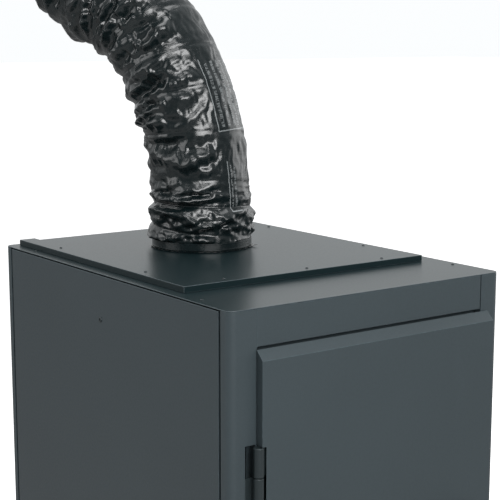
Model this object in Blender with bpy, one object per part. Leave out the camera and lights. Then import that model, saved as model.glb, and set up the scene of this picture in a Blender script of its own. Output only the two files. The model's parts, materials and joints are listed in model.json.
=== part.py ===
"""Printer enclosure cabinet with a flexible exhaust duct.

A folded-steel cabinet on four feet. It has a hinged front door with a cam latch, lift-out side
panels, a back panel with an air inlet, a shelf, and a raised roof plate. The plate carries the
exhaust spigot and a semi-rigid duct that rises, bends back over the roof and ends in a flange.

Frame: metres, +X right along the front, +Y to the back, +Z up. The origin is on the floor, in
the middle of the whole object's box. Pieces are drawn in cabinet coordinates: x from the left
side, y from the front of the frame, z from the floor. The empty cabinet_origin carries them
into the frame, and each moving body hangs from an empty on its joint's axis.
"""

import math

import bmesh
import bpy
from mathutils import Matrix, Vector

# Cabinet
WIDTH = 0.600
DEPTH = 0.800
HEIGHT = 1.000
SHEET = 0.0015
GAP = 0.0003
CORNER_RADIUS = 0.015
FOOT_HEIGHT = 0.030
BASE_HEIGHT = 0.040
BASE_TOP = FOOT_HEIGHT + BASE_HEIGHT
ROOF_UNDERSIDE = HEIGHT - SHEET

# Posts and rails
LEFT_POST_WIDTH = 0.054
RIGHT_POST_WIDTH = 0.0465
REAR_POST_WIDTH = 0.046
POST_DEPTH = 0.024
SIDE_LIP = 0.0182
LIP_DEPTH = 0.0177
TOP_RAIL_HEIGHT = 0.063
BOTTOM_RAIL_TOP = 0.115
RAIL_END_GAP = 0.0025

# Side, back and roof
PANEL_DEPTH = 0.018
PANEL_END_GAP = 0.006
PANEL_TOP_GAP = 0.0025
BACK_MARGIN = 0.040
BACK_DEPTH = 0.013
PLATE_X = (0.024, 0.562)
PLATE_Y = (0.165, 0.783)
PLATE_HEIGHT = 0.0115
NOTCH_X = (0.058, 0.528)
NOTCH_FRONT = 0.680
PLATE_SCREWS = (
    (0.116, 0.182),
    (0.297, 0.182),
    (0.475, 0.182),
    (0.0435, 0.320),
    (0.0435, 0.640),
    (0.544, 0.315),
    (0.544, 0.630),
)
ROOF_SCREW_INSET = (0.018, 0.103)
SCREW_RADIUS = 0.0028
SCREW_HEIGHT = 0.0012
SIDE_FASTENER = (0.408, HEIGHT - 0.085)
SIDE_FASTENER_RADIUS = 0.005

# Air inlet and cable gland in the back panel
INLET_X = (0.205, 0.395)
INLET_Z = (0.175, 0.315)
INLET_FRAME = 0.015
INLET_SLOTS = 9
SLOT_HEIGHT = 0.006
GLAND_X, GLAND_Z = 0.490, 0.150
GLAND_RADIUS = 0.014
GLAND_BORE = 0.005
BACK_FACE = DEPTH + GAP + BACK_DEPTH
GLAND_END = 0.835

# Door
DOOR_X = (0.0525, 0.568)
DOOR_Z = (0.119, HEIGHT - 0.067)
DOOR_FRONT = -0.0175
DOOR_BACK = -0.0018
DOOR_TOP_BEVEL = 0.016
INNER_PAN_X = (0.057, 0.5485)
INNER_PAN_Z = (DOOR_Z[0] + 0.0045, DOOR_Z[1] - 0.0045)
INNER_PAN_BACK = 0.0123
STIFFENER_WIDTH = 0.030
SEAL_FRAME_Y = 0.018
SEAL_FRAME_IN = (0.074, 0.5335)
SEAL_FRAME_Z = (BOTTOM_RAIL_TOP + 0.020, HEIGHT - TOP_RAIL_HEIGHT - 0.020)
SEAL_FRAME_LAND = 0.028
GASKET_INSET = 0.003
GASKET_WIDTH = 0.008

# Hinges, on one vertical axis
HINGE_AXIS = (0.050, -0.010)
HINGE_LENGTH = 0.100
HINGE_TOPS = {"upper": HEIGHT - 0.225, "lower": 0.370}
BARREL_RADIUS = 0.009
PIN_RADIUS = 0.005
PIN_BORE = 0.0053
KNUCKLE_GAP = 0.001
POCKET_X = (0.031, 0.0515)

# Cam latch
LATCH_X, LATCH_Z = 0.512, 0.560
SHAFT_RADIUS = 0.0075
LATCH_HOLE = 0.009
HANDLE_LENGTH = 0.100
HANDLE_HALF = 0.011
HANDLE_Y = (-0.046, -0.034)
CAM_LENGTH = 0.034
CAM_Y = (0.0203, 0.0233)
KEY_FRONT = -0.0485

# Shelf
SHELF_TOP = 0.440
SHELF_THICKNESS = 0.020
SHELF_X = (0.022, 0.578)
SHELF_Y = (0.040, 0.770)
SHELF_RAIL_FLANGE = 0.0265

# Feet
FOOT_INSET = 0.060
FOOT_RADIUS = 0.024

# Exhaust duct
DUCT_X, DUCT_Y = 0.288, 0.508
DUCT_INNER = 0.0957
DUCT_OUTER = 0.0970
SPIGOT_INNER = 0.0895
SPIGOT_OUTER = 0.091
SPIGOT_FLANGE = 0.104
SPIGOT_HEIGHT = 0.060
BEND_HEADING = math.radians(120)  # plan direction of the bend, from +X towards +Y
DUCT_START = HEIGHT + PLATE_HEIGHT + 0.0006
# The centreline's stretches, from the spigot up: (length of the stretch, turn over it).
DUCT_STRETCHES = (
    (0.060, 0.0),
    (0.140, math.radians(9)),
    (0.230, math.radians(28)),
    (0.120, math.radians(30)),
    (0.115, math.radians(-22)),
    (0.055, 0.0),
)
CENTRELINE_STEP = 0.004
DUCT_RINGS = 30
DUCT_SIDES = 24
RING_STEPS = 36
# Where the wire comes round to its start side: gathered near the spigot and drawn out above it.
WIRE_STATIONS = (0.004, 0.020, 0.078, 0.116, 0.204, 0.282, 0.355, 0.428, 0.501, 0.574, 0.640, 0.700, 0.716)
WIRE_START = math.radians(294)
WIRE_RADIUS = 0.0009
WIRE_HELIX_RADIUS = 0.0933
WIRE_STEPS_PER_TURN = 20
WIRE_SIDES = 4
CLAMP_WIDTH = 0.014
CLAMP_THICKNESS = 0.0014
CLAMP_INSET = 0.003
CLAMP_INNER = DUCT_OUTER + 0.0008
OUTLET_INSERT = 0.050
OUTLET_REACH = 0.020
OUTLET_FLANGE = 0.003

OUTLET_REAR_EDGE = 0.888
ORIGIN_Y = (KEY_FRONT + OUTLET_REAR_EDGE) / 2


# Building blocks


def material(name, color, roughness, metallic):
    made = bpy.data.materials.new(name)
    made.use_nodes = True
    shader = made.node_tree.nodes["Principled BSDF"]
    shader.inputs["Base Color"].default_value = (*color, 1)
    shader.inputs["Roughness"].default_value = roughness
    shader.inputs["Metallic"].default_value = metallic
    return made


def pivot(name, point, parent=None):
    """An empty at a point given in cabinet coordinates."""
    empty = bpy.data.objects.new(name, None)
    bpy.context.scene.collection.objects.link(empty)
    empty["point"] = point
    empty.location = Vector(point) - Vector(parent["point"] if parent else (0, 0, 0))
    empty.parent = parent
    return empty


def new_object(name, bm, finish, parent):
    """Turns a bmesh in cabinet coordinates into an object whose origin is its parent's."""
    bmesh.ops.recalc_face_normals(bm, faces=bm.faces)
    bmesh.ops.translate(bm, verts=bm.verts, vec=-Vector(parent["point"]))
    mesh = bpy.data.meshes.new(name)
    bm.to_mesh(mesh)
    bm.free()
    mesh.materials.append(finish)
    obj = bpy.data.objects.new(name, mesh)
    bpy.context.scene.collection.objects.link(obj)
    obj.parent = parent
    return obj


def smooth(obj, degrees=30):
    obj.data.shade_smooth()
    obj.data.set_sharp_from_angle(angle=math.radians(degrees))
    return obj


def combine(obj, tool, operation):
    """Joins or cuts with another object, which stays as a hidden helper."""
    tool.hide_render = True
    tool.display_type = "WIRE"
    boolean = obj.modifiers.new(operation.lower(), "BOOLEAN")
    boolean.object = tool
    boolean.operation = operation
    boolean.solver = "EXACT"
    return obj


def across(axis, u, v, w):
    """The point with (u, v) across an axis and w along it."""
    return {"x": (w, u, v), "y": (u, w, v), "z": (u, v, w)}[axis]


def rectangle(us, vs):
    return [(us[0], vs[0]), (us[1], vs[0]), (us[1], vs[1]), (us[0], vs[1])]


def arc(centre, radius, start, end, steps):
    """Points on an arc, angles in degrees."""
    turns = [math.radians(start + (end - start) * i / steps) for i in range(steps + 1)]
    return [(centre[0] + radius * math.cos(a), centre[1] + radius * math.sin(a)) for a in turns]


def rounded_rectangle(us, vs, radius, steps=6):
    corners = ((us[1], vs[0], -90), (us[1], vs[1], 0), (us[0], vs[1], 90), (us[0], vs[0], 180))
    outline = []
    for u, v, start in corners:
        centre = (
            u - math.copysign(radius, u - us[0] - 1e-9),
            v - math.copysign(radius, v - vs[0] - 1e-9),
        )
        outline += arc(centre, radius, start, start + 90, steps)
    return outline


def folded(path, thickness):
    """The outline of a sheet folded along path. Its thickness lies left of the path, or right
    of it where thickness is negative."""
    points = [Vector(p) for p in path]
    normals = []
    for a, b in zip(points, points[1:]):
        along = (b - a).normalized()
        normals.append(Vector((-along.y, along.x)))
    inner = []
    for i, point in enumerate(points):
        before = normals[max(i - 1, 0)]
        after = normals[min(i, len(normals) - 1)]
        mitre = (before + after) / (1 + before.dot(after))
        inner.append(point + mitre * thickness)
    return [tuple(p) for p in points + inner[::-1]]


def add_prism(bm, outline, axis, lo, hi):
    """Extrudes an outline along an axis and returns its two end faces."""
    rings = [[bm.verts.new(across(axis, u, v, w)) for u, v in outline] for w in (lo, hi)]
    ends = [bm.faces.new(ring) for ring in rings]
    for i in range(len(outline)):
        j = (i + 1) % len(outline)
        bm.faces.new((rings[0][i], rings[0][j], rings[1][j], rings[1][i]))
    return ends


def prism(name, outline, axis, lo, hi, finish, parent):
    bm = bmesh.new()
    add_prism(bm, outline, axis, lo, hi)
    return new_object(name, bm, finish, parent)


def block(name, xs, ys, zs, finish, parent):
    return prism(name, rectangle(xs, ys), "z", zs[0], zs[1], finish, parent)


def tray(name, outline, axis, floor, rim, finish, parent):
    """A folded pan with its sheet at floor and its walls' free edge at rim."""
    bm = bmesh.new()
    open_end = add_prism(bm, outline, axis, floor, rim)[1]
    bmesh.ops.recalc_face_normals(bm, faces=bm.faces)
    bmesh.ops.inset_region(bm, faces=[open_end], thickness=SHEET, use_even_offset=True)
    inner = bmesh.ops.extrude_discrete_faces(bm, faces=[open_end])["faces"][0]
    sink = floor - rim + math.copysign(SHEET, rim - floor)
    bmesh.ops.translate(bm, verts=inner.verts, vec=across(axis, 0, 0, sink))
    return new_object(name, bm, finish, parent)


def ring_plate(name, outer, inner, ys, finish, parent):
    """A flat rectangular frame, upright in the XZ plane. outer and inner are (xs, zs)."""
    bm = bmesh.new()
    loops = []
    for y in ys:
        for xs, zs in (outer, inner):
            loops.append([bm.verts.new((x, y, z)) for x, z in rectangle(xs, zs)])
    front_outer, front_inner, back_outer, back_inner = loops
    for first, second in (
        (front_outer, front_inner),
        (back_outer, back_inner),
        (front_outer, back_outer),
        (front_inner, back_inner),
    ):
        for i in range(4):
            j = (i + 1) % 4
            bm.faces.new((first[i], first[j], second[j], second[i]))
    return new_object(name, bm, finish, parent)


def turned(name, profile, steps, place, finish, parent):
    """Turns a closed profile of (radius, height) about the local Z axis of a place matrix."""
    bm = bmesh.new()
    columns = []
    for radius, height in profile:
        if radius == 0:
            columns.append([bm.verts.new(place @ Vector((0, 0, height)))] * steps)
            continue
        column = []
        for i in range(steps):
            turn = 2 * math.pi * i / steps
            point = Vector((radius * math.cos(turn), radius * math.sin(turn), height))
            column.append(bm.verts.new(place @ point))
        columns.append(column)
    for here, there in zip(columns, columns[1:] + columns[:1]):
        for i in range(steps):
            j = (i + 1) % steps
            corners = list(dict.fromkeys((here[i], here[j], there[j], there[i])))
            if len(corners) > 2:
                bm.faces.new(corners)
    return smooth(new_object(name, bm, finish, parent))


def at(x, y, z, facing="z"):
    """A place matrix at a point, with its local Z axis along +Z, +Y or +X."""
    turn = {
        "z": Matrix.Identity(4),
        "y": Matrix.Rotation(math.radians(-90), 4, "X"),
        "x": Matrix.Rotation(math.radians(90), 4, "Y"),
    }[facing]
    return Matrix.Translation((x, y, z)) @ turn


def disc(radius, lo, hi):
    """The profile of a solid cylinder."""
    return [(0, lo), (radius, lo), (radius, hi), (0, hi)]


def drill(obj, radius, place, depth, finish, parent, steps=RING_STEPS):
    """Cuts a round hole that reaches depth to both sides of a place."""
    tool = turned(obj.name + "_hole", disc(radius, -depth, depth), steps, place, finish, parent)
    return combine(obj, tool, "DIFFERENCE")


# Duct centreline


def duct_frames():
    """Frames along the duct: each is a matrix whose Z axis is the centreline's direction, whose
    X axis is level and across the bend, and the length of centreline up to it."""
    heading = Vector((math.cos(BEND_HEADING), math.sin(BEND_HEADING), 0))
    across_bend = heading.cross(Vector((0, 0, 1)))
    point = Vector((DUCT_X, DUCT_Y, DUCT_START))
    tilt = travelled = 0.0
    frames = []

    def keep():
        forward = heading * math.sin(tilt) + Vector((0, 0, 1)) * math.cos(tilt)
        side = forward.cross(across_bend)
        frame = Matrix((across_bend, side, forward)).transposed().to_4x4()
        frame.translation = point
        frames.append((frame, travelled))

    keep()
    for length, turn in DUCT_STRETCHES:
        steps = max(1, round(length / CENTRELINE_STEP))
        for _ in range(steps):
            middle = tilt + turn / steps / 2
            forward = heading * math.sin(middle) + Vector((0, 0, 1)) * math.cos(middle)
            point = point + forward * (length / steps)
            tilt += turn / steps
            travelled += length / steps
            keep()
    return frames


def frame_at(frames, distance):
    """The duct's frame at a length along the centreline."""
    last = frames[-1]
    for frame, travelled in frames:
        if travelled >= distance - 1e-9:
            last = (frame, travelled)
            break
    frame = last[0].copy()
    frame.translation = frame.translation + frame.col[2].to_3d() * (distance - last[1])
    return frame


def swept(name, rings, finish, parent):
    """A closed skin over rings of points, each joined to the next. The last ring joins the
    first in the way that makes a tube's two walls and two ends."""
    bm = bmesh.new()
    columns = [[bm.verts.new(p) for p in ring] for ring in rings]
    for here, there in zip(columns, columns[1:] + columns[:1]):
        for i in range(len(here)):
            j = (i + 1) % len(here)
            bm.faces.new((here[i], here[j], there[j], there[i]))
    return smooth(new_object(name, bm, finish, parent))


def circle(frame, radius, sides):
    turns = [2 * math.pi * i / sides for i in range(sides)]
    return [frame @ Vector((radius * math.cos(a), radius * math.sin(a), 0)) for a in turns]


# Cabinet body


def build_base(finish, parent):
    outline = rounded_rectangle((0, WIDTH), (0, DEPTH), CORNER_RADIUS)
    tray("base_pan", outline, "z", BASE_TOP, FOOT_HEIGHT, finish, parent)


def build_posts(finish, parent):
    """Four folded corner posts. The front ones stop the door with their inner lips."""
    corner = arc((CORNER_RADIUS, CORNER_RADIUS), CORNER_RADIUS, 270, 180, 6)
    lo, hi = BASE_TOP + GAP, ROOF_UNDERSIDE - GAP
    for name, width, right, rear in (
        ("post_front_left", LEFT_POST_WIDTH, False, False),
        ("post_front_right", RIGHT_POST_WIDTH, True, False),
        ("post_rear_left", REAR_POST_WIDTH, False, True),
        ("post_rear_right", REAR_POST_WIDTH, True, True),
    ):
        path = [(width, LIP_DEPTH), (width, 0), *corner, (0, POST_DEPTH), (SIDE_LIP, POST_DEPTH)]
        outline = [
            (WIDTH - x if right else x, DEPTH - y if rear else y)
            for x, y in folded(path, -SHEET)
        ]
        post = prism(name, outline, "z", lo, hi, finish, parent)
        if name == "post_front_left":
            cut_hinge_pockets(post, finish, parent)


def cut_hinge_pockets(post, finish, parent):
    """Openings in the post's face that the hinges' frame leaves come out through."""
    for which, top in HINGE_TOPS.items():
        tool = block(
            f"hinge_pocket_{which}",
            POCKET_X,
            (-0.005, 0.005),
            (top - HINGE_LENGTH - 0.002, top + 0.002),
            finish,
            parent,
        )
        combine(post, tool, "DIFFERENCE")


def build_rails(finish, parent):
    xs = (LEFT_POST_WIDTH + GAP, WIDTH - RIGHT_POST_WIDTH - RAIL_END_GAP)
    for name, lo, hi in (
        ("front_top_rail", HEIGHT - TOP_RAIL_HEIGHT, ROOF_UNDERSIDE - GAP),
        ("front_bottom_rail", BASE_TOP + GAP, BOTTOM_RAIL_TOP),
    ):
        path = [(LIP_DEPTH, hi), (0, hi), (0, lo), (LIP_DEPTH, lo)]
        prism(name, folded(path, SHEET), "x", xs[0], xs[1], finish, parent)


def build_roof(finish, parent):
    outline = rounded_rectangle((0, WIDTH), (0, DEPTH), CORNER_RADIUS)
    roof = prism("roof_panel", outline, "z", ROOF_UNDERSIDE, HEIGHT, finish, parent)
    drill(roof, SPIGOT_OUTER + 0.001, at(DUCT_X, DUCT_Y, HEIGHT), 0.01, finish, parent)
    inset_x, inset_y = ROOF_SCREW_INSET
    for side, x in (("left", inset_x), ("right", WIDTH - inset_x)):
        for end, y in (("front", inset_y), ("rear", DEPTH - inset_y)):
            build_screw(f"roof_screw_{end}_{side}", (x, y, HEIGHT), finish, parent)


def build_screw(name, point, finish, parent):
    """A low button-head screw's head, resting on a face that looks up."""
    x, y, z = point
    low = GAP
    profile = [
        (0, low),
        (SCREW_RADIUS, low),
        (SCREW_RADIUS * 0.8, low + SCREW_HEIGHT),
        (0, low + SCREW_HEIGHT),
    ]
    turned(name, profile, 12, at(x, y, z), finish, parent)


def build_side_panels(finish, dark, parent):
    ys = (POST_DEPTH + PANEL_END_GAP, DEPTH - POST_DEPTH - PANEL_END_GAP)
    zs = (BASE_TOP + 0.004, ROOF_UNDERSIDE - PANEL_TOP_GAP)
    fastener_y, fastener_z = SIDE_FASTENER
    for side, face, edge, out in (
        ("left", 0, PANEL_DEPTH, -1),
        ("right", WIDTH, WIDTH - PANEL_DEPTH, 1),
    ):
        tray(f"side_panel_{side}", rectangle(ys, zs), "x", face, edge, finish, parent)
        head = (face + out * GAP, face + out * (GAP + SCREW_HEIGHT))
        turned(
            f"side_fastener_{side}",
            disc(SIDE_FASTENER_RADIUS, min(head), max(head)),
            16,
            at(0, fastener_y, fastener_z, "x"),
            dark,
            parent,
        )


def build_back(finish, dark, foam, rubber, parent):
    xs = (BACK_MARGIN, WIDTH - BACK_MARGIN)
    zs = (BASE_TOP + 0.004, HEIGHT - 0.0025)
    back = tray("back_panel", rectangle(xs, zs), "y", BACK_FACE, DEPTH + GAP, finish, parent)
    opening = block(
        "inlet_opening",
        INLET_X,
        (BACK_FACE - 0.004, BACK_FACE + 0.004),
        INLET_Z,
        finish,
        parent,
    )
    combine(back, opening, "DIFFERENCE")
    gland_place = at(GLAND_X, BACK_FACE, GLAND_Z, "y")
    drill(back, GLAND_RADIUS * 0.7, gland_place, 0.004, finish, parent, 24)
    build_inlet(dark, foam, parent)
    build_gland(rubber, parent)


def build_inlet(dark, foam, parent):
    """A slotted cover outside the back panel and a filter mat inside it."""
    outer_x = (INLET_X[0] - INLET_FRAME, INLET_X[1] + INLET_FRAME)
    outer_z = (INLET_Z[0] - INLET_FRAME, INLET_Z[1] + INLET_FRAME)
    ys = (BACK_FACE + GAP, BACK_FACE + GAP + SHEET)
    grille = block("inlet_grille", outer_x, ys, outer_z, dark, parent)
    bm = bmesh.new()
    pitch = (INLET_Z[1] - INLET_Z[0]) / INLET_SLOTS
    for i in range(INLET_SLOTS):
        middle = INLET_Z[0] + pitch * (i + 0.5)
        slot = rectangle(
            (INLET_X[0] + 0.01, INLET_X[1] - 0.01),
            (middle - SLOT_HEIGHT / 2, middle + SLOT_HEIGHT / 2),
        )
        add_prism(bm, slot, "y", ys[0] - 0.01, ys[1] + 0.01)
    combine(grille, new_object("inlet_slots", bm, dark, parent), "DIFFERENCE")
    filter_y = (DEPTH + 2 * GAP, BACK_FACE - SHEET - GAP)
    block("inlet_filter", outer_x, filter_y, outer_z, foam, parent)


def build_gland(rubber, parent):
    """A rubber cable gland with a lip on each side of the back panel."""
    inside = -SHEET - GAP
    outside = GLAND_END - BACK_FACE
    profile = [
        (GLAND_BORE, inside - 0.003),
        (GLAND_RADIUS, inside - 0.003),
        (GLAND_RADIUS, inside),
        (GLAND_RADIUS * 0.66, inside),
        (GLAND_RADIUS * 0.66, GAP),
        (GLAND_RADIUS, GAP),
        (GLAND_RADIUS, 0.006),
        (GLAND_BORE + 0.003, outside),
        (GLAND_BORE, outside),
    ]
    turned("cable_gland", profile, 24, at(GLAND_X, BACK_FACE, GLAND_Z, "y"), rubber, parent)


def build_exhaust_plate(finish, screw_finish, parent):
    """A raised pan on the roof, notched at the rear, and the strip that lies in the notch."""
    outline = [
        (PLATE_X[0], PLATE_Y[0]),
        (PLATE_X[1], PLATE_Y[0]),
        (PLATE_X[1], PLATE_Y[1]),
        (NOTCH_X[1], PLATE_Y[1]),
        (NOTCH_X[1], NOTCH_FRONT),
        (NOTCH_X[0], NOTCH_FRONT),
        (NOTCH_X[0], PLATE_Y[1]),
        (PLATE_X[0], PLATE_Y[1]),
    ]
    top = HEIGHT + PLATE_HEIGHT
    plate = tray("exhaust_plate", outline, "z", top, HEIGHT + GAP, finish, parent)
    drill(plate, SPIGOT_OUTER + 0.0006, at(DUCT_X, DUCT_Y, top), 0.005, finish, parent)
    for i, (x, y) in enumerate(PLATE_SCREWS, 1):
        build_screw(f"plate_screw_{i}", (x, y, top), screw_finish, parent)
    strip_path = [
        (NOTCH_FRONT + 0.002, HEIGHT + GAP + SHEET),
        (BACK_FACE + GAP + SHEET, HEIGHT + GAP + SHEET),
        (BACK_FACE + GAP + SHEET, HEIGHT - 0.020),
    ]
    strip_x = (NOTCH_X[0] + 0.002, NOTCH_X[1] - 0.002)
    prism("rear_roof_strip", folded(strip_path, -SHEET), "x", *strip_x, finish, parent)


def build_feet(rubber, parent):
    """Levelling feet: a pad and a stem up to the base pan, in one solid."""
    profile = [
        (0, 0),
        (FOOT_RADIUS * 0.92, 0),
        (FOOT_RADIUS, 0.003),
        (FOOT_RADIUS * 0.85, 0.012),
        (0.009, 0.016),
        (0.006, 0.018),
        (0.006, BASE_TOP - SHEET - GAP),
        (0, BASE_TOP - SHEET - GAP),
    ]
    for side, x in (("left", FOOT_INSET), ("right", WIDTH - FOOT_INSET)):
        for end, y in (("front", FOOT_INSET), ("rear", DEPTH - FOOT_INSET)):
            turned(f"foot_{end}_{side}", profile, 24, at(x, y, 0), rubber, parent)


def build_shelf(finish, parent):
    zs = (SHELF_TOP - SHELF_THICKNESS, SHELF_TOP)
    tray("shelf", rectangle(SHELF_X, SHELF_Y), "z", zs[1], zs[0], finish, parent)
    top = zs[0] - GAP
    for side in ("left", "right"):
        near = PANEL_DEPTH + 0.0005
        path = [(near + SHELF_RAIL_FLANGE, top), (near, top), (near, top - 0.040)]
        outline = folded(path, SHEET)
        if side == "right":
            outline = [(WIDTH - x, z) for x, z in outline]
        ys = (POST_DEPTH - SHEET, DEPTH - POST_DEPTH + SHEET)
        prism(f"shelf_rail_{side}", outline, "y", *ys, finish, parent)


def build_seal_frame(finish, parent):
    inner = (SEAL_FRAME_IN, SEAL_FRAME_Z)
    land = SEAL_FRAME_LAND
    outer = tuple((lo - land, hi + land) for lo, hi in inner)
    ys = (SEAL_FRAME_Y, SEAL_FRAME_Y + SHEET)
    ring_plate("door_seal_frame", outer, inner, ys, finish, parent)


# Door


def door_solid(name, inset, front, back, finish, parent):
    """The door's block with its sloped top edge, drawn in by an inset on its four sides."""
    lo, hi = DOOR_Z[0] + inset, DOOR_Z[1] - inset
    outline = [(back, lo), (front, lo), (front, hi - DOOR_TOP_BEVEL), (back, hi)]
    return prism(name, outline, "x", DOOR_X[0] + inset, DOOR_X[1] - inset, finish, parent)


def build_door(finish, foam, parent):
    skin = door_solid("door_skin", 0, DOOR_FRONT, DOOR_BACK, finish, parent)
    hollow = door_solid(
        "door_hollow", SHEET, DOOR_FRONT + SHEET, DOOR_BACK + 0.0001, finish, parent
    )
    combine(skin, hollow, "DIFFERENCE")
    latch_place = at(LATCH_X, DOOR_FRONT, LATCH_Z, "y")
    drill(skin, LATCH_HOLE, latch_place, 0.005, finish, parent, 24)
    notch_x = (DOOR_X[0] - 0.005, HINGE_AXIS[0] + BARREL_RADIUS + 0.0015)
    for which, top in HINGE_TOPS.items():
        zs = (top - HINGE_LENGTH - 0.001, top + 0.001)
        tool = block(f"hinge_notch_{which}", notch_x, (-0.03, 0.01), zs, finish, parent)
        combine(skin, tool, "DIFFERENCE")

    pan_outline = rectangle(INNER_PAN_X, INNER_PAN_Z)
    pan = tray("door_inner_pan", pan_outline, "y", INNER_PAN_BACK, -0.0015, finish, parent)
    pan_place = at(LATCH_X, INNER_PAN_BACK, LATCH_Z, "y")
    drill(pan, LATCH_HOLE, pan_place, 0.005, finish, parent, 24)

    stiffener_y = (DOOR_FRONT + SHEET + GAP, DOOR_BACK)
    stiffener_z = (INNER_PAN_Z[0] + 0.010, INNER_PAN_Z[1] - 0.025)
    for name, x in (("hinge_side", 0.092), ("latch_side", 0.460)):
        outline = rectangle((x, x + STIFFENER_WIDTH), stiffener_z)
        tray(f"door_stiffener_{name}", outline, "y", *stiffener_y, finish, parent)

    inset = GASKET_INSET
    outer = tuple((lo + inset, hi - inset) for lo, hi in (INNER_PAN_X, INNER_PAN_Z))
    inner = tuple((lo + GASKET_WIDTH, hi - GASKET_WIDTH) for lo, hi in outer)
    ys = (INNER_PAN_BACK + GAP, SEAL_FRAME_Y - 0.0004)
    ring_plate("door_gasket", outer, inner, ys, foam, parent)


def build_hinges(finish, steel, frame_parent, door_parent):
    """Lift-off hinges: the frame's knuckle below with the pin in it, the door's knuckle above."""
    axis_x, axis_y = HINGE_AXIS
    for which, top in HINGE_TOPS.items():
        low = top - HINGE_LENGTH
        middle = top - HINGE_LENGTH / 2
        for role, lo, hi, parent in (
            ("frame", low, middle - KNUCKLE_GAP / 2, frame_parent),
            ("door", middle + KNUCKLE_GAP / 2, top, door_parent),
        ):
            inset = 0.0012
            bore = PIN_BORE
            floor = lo + 0.004 if role == "frame" else lo
            ceiling = hi if role == "frame" else hi - 0.004
            profile = [
                (0, lo),
                (BARREL_RADIUS - inset, lo),
                (BARREL_RADIUS, lo + inset),
                (BARREL_RADIUS, hi - inset),
                (BARREL_RADIUS - inset, hi),
            ]
            if role == "frame":
                profile += [(bore, hi), (bore, floor), (0, floor)]
            else:
                profile[0] = (bore, lo)
                profile += [(0, hi), (0, ceiling), (bore, ceiling)]
            name = f"hinge_{which}_{role}_leaf"
            knuckle = turned(name, profile, 24, at(axis_x, axis_y, 0), finish, parent)
            combine(knuckle, hinge_plate(f"{name}_plate", role, lo, hi, finish, parent), "UNION")
        pin = disc(PIN_RADIUS, low + 0.004 + GAP, top - 0.004 - 0.0005)
        turned(f"hinge_{which}_pin", pin, 24, at(axis_x, axis_y, 0), steel, frame_parent)


def hinge_plate(name, role, lo, hi, finish, parent):
    """The flat part of a hinge leaf. The frame's comes forward through the post's pocket, and
    the door's runs inside the door's skin to the stiffener."""
    if role == "door":
        outline = rectangle((0.057, 0.0917), (-0.012, -0.009))
    else:
        tongue = 0.003
        outline = [
            (POCKET_X[0] - 0.004, SHEET + GAP),
            (0.043, SHEET + GAP),
            (0.043, -0.0065),
            (0.043 + tongue, -0.0065),
            (0.043 + tongue, SHEET + GAP),
            (POCKET_X[1], SHEET + GAP),
            (POCKET_X[1], SHEET + GAP + tongue),
            (POCKET_X[0] - 0.004, SHEET + GAP + tongue),
        ]
    return prism(name, outline, "z", lo + 0.002, hi - 0.002, finish, parent)


def build_latch(finish, steel, door_parent, latch_parent, key_parent):
    """A lever with a cam behind the door. The lever lies level when the door is free."""
    place = at(LATCH_X, 0, LATCH_Z, "y")
    collar_y = (DOOR_FRONT - 0.0035, DOOR_FRONT - GAP)
    escutcheon = [
        (LATCH_HOLE, collar_y[0]),
        (0.018, collar_y[0]),
        (0.020, collar_y[0] + 0.0015),
        (0.020, collar_y[1]),
        (LATCH_HOLE, collar_y[1]),
    ]
    turned("latch_escutcheon", escutcheon, 32, place, finish, door_parent)

    half = HANDLE_HALF
    tip = arc((LATCH_X - HANDLE_LENGTH, LATCH_Z), half * 0.8, 90, 270, 8)
    hub = arc((LATCH_X, LATCH_Z), half * 1.35, -75, 75, 10)
    handle = prism("latch_handle", tip + hub, "y", *HANDLE_Y, finish, latch_parent)
    boss_y = (collar_y[0] - 0.0006, HANDLE_Y[1] - 0.001)
    boss = turned(
        "handle_boss", disc(0.013, boss_y[1], boss_y[0]), 32, place, finish, latch_parent
    )
    combine(handle, boss, "UNION")

    cam_hi = LATCH_Z + 0.010
    cam = arc((LATCH_X, LATCH_Z - CAM_LENGTH + 0.006), 0.009, 180, 360, 6)
    cam += [(LATCH_X + 0.010, cam_hi), (LATCH_X - 0.010, cam_hi)]
    prism("latch_cam", cam, "y", *CAM_Y, steel, latch_parent)
    shaft = disc(SHAFT_RADIUS, boss_y[0] + GAP, CAM_Y[0] - GAP)
    turned("latch_shaft", shaft, 24, place, steel, latch_parent)

    key = disc(0.0065, KEY_FRONT, HANDLE_Y[0] - GAP)
    cylinder = turned("key_cylinder", key, 24, place, steel, key_parent)
    slot = block(
        "key_slot",
        (LATCH_X - 0.0007, LATCH_X + 0.0007),
        (KEY_FRONT - 0.001, KEY_FRONT + 0.0015),
        (LATCH_Z - 0.004, LATCH_Z + 0.004),
        steel,
        key_parent,
    )
    combine(cylinder, slot, "DIFFERENCE")


# Exhaust duct


def build_spigot(steel, parent):
    under = HEIGHT + PLATE_HEIGHT - SHEET - GAP
    top = HEIGHT + PLATE_HEIGHT + SPIGOT_HEIGHT
    profile = [
        (SPIGOT_INNER, under - SHEET),
        (SPIGOT_FLANGE, under - SHEET),
        (SPIGOT_FLANGE, under),
        (SPIGOT_OUTER, under),
        (SPIGOT_OUTER, top),
        (SPIGOT_INNER, top),
    ]
    turned("exhaust_spigot", profile, RING_STEPS, at(DUCT_X, DUCT_Y, 0), steel, parent)


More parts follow.
